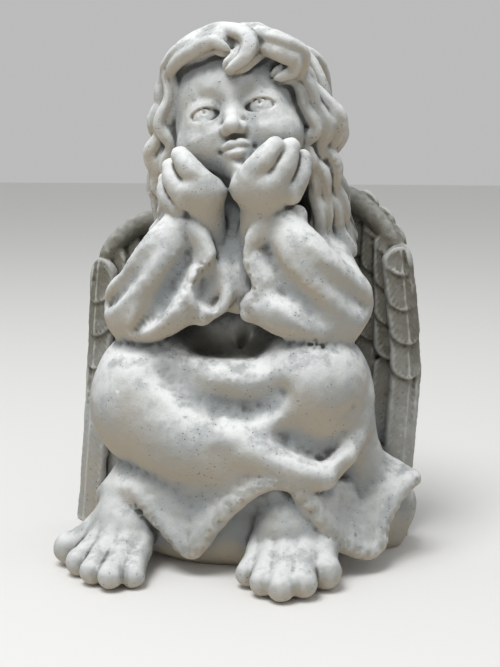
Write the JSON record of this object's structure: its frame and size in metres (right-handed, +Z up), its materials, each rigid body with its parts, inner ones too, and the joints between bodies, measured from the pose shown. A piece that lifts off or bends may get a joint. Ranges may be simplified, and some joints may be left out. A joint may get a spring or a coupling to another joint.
{
  "type": "putto statue",
  "caption": "Seated stone putto with folded wings, chin in both hands and elbows on the knees, in a long robe.",
  "frame": {"origin": "on the ground under the figure, midway between its feet and the backs of its wings", "axes": "+Z up, the figure faces -Y, +X is to the viewer's right"},
  "size_m": [0.2224, 0.1913, 0.3125],
  "materials": {
    "stone": "weathered pale grey cast stone, matte and finely pitted"
  },
  "bodies": {
    "root": {"putto": "stone"}
  },
  "joints": []
}
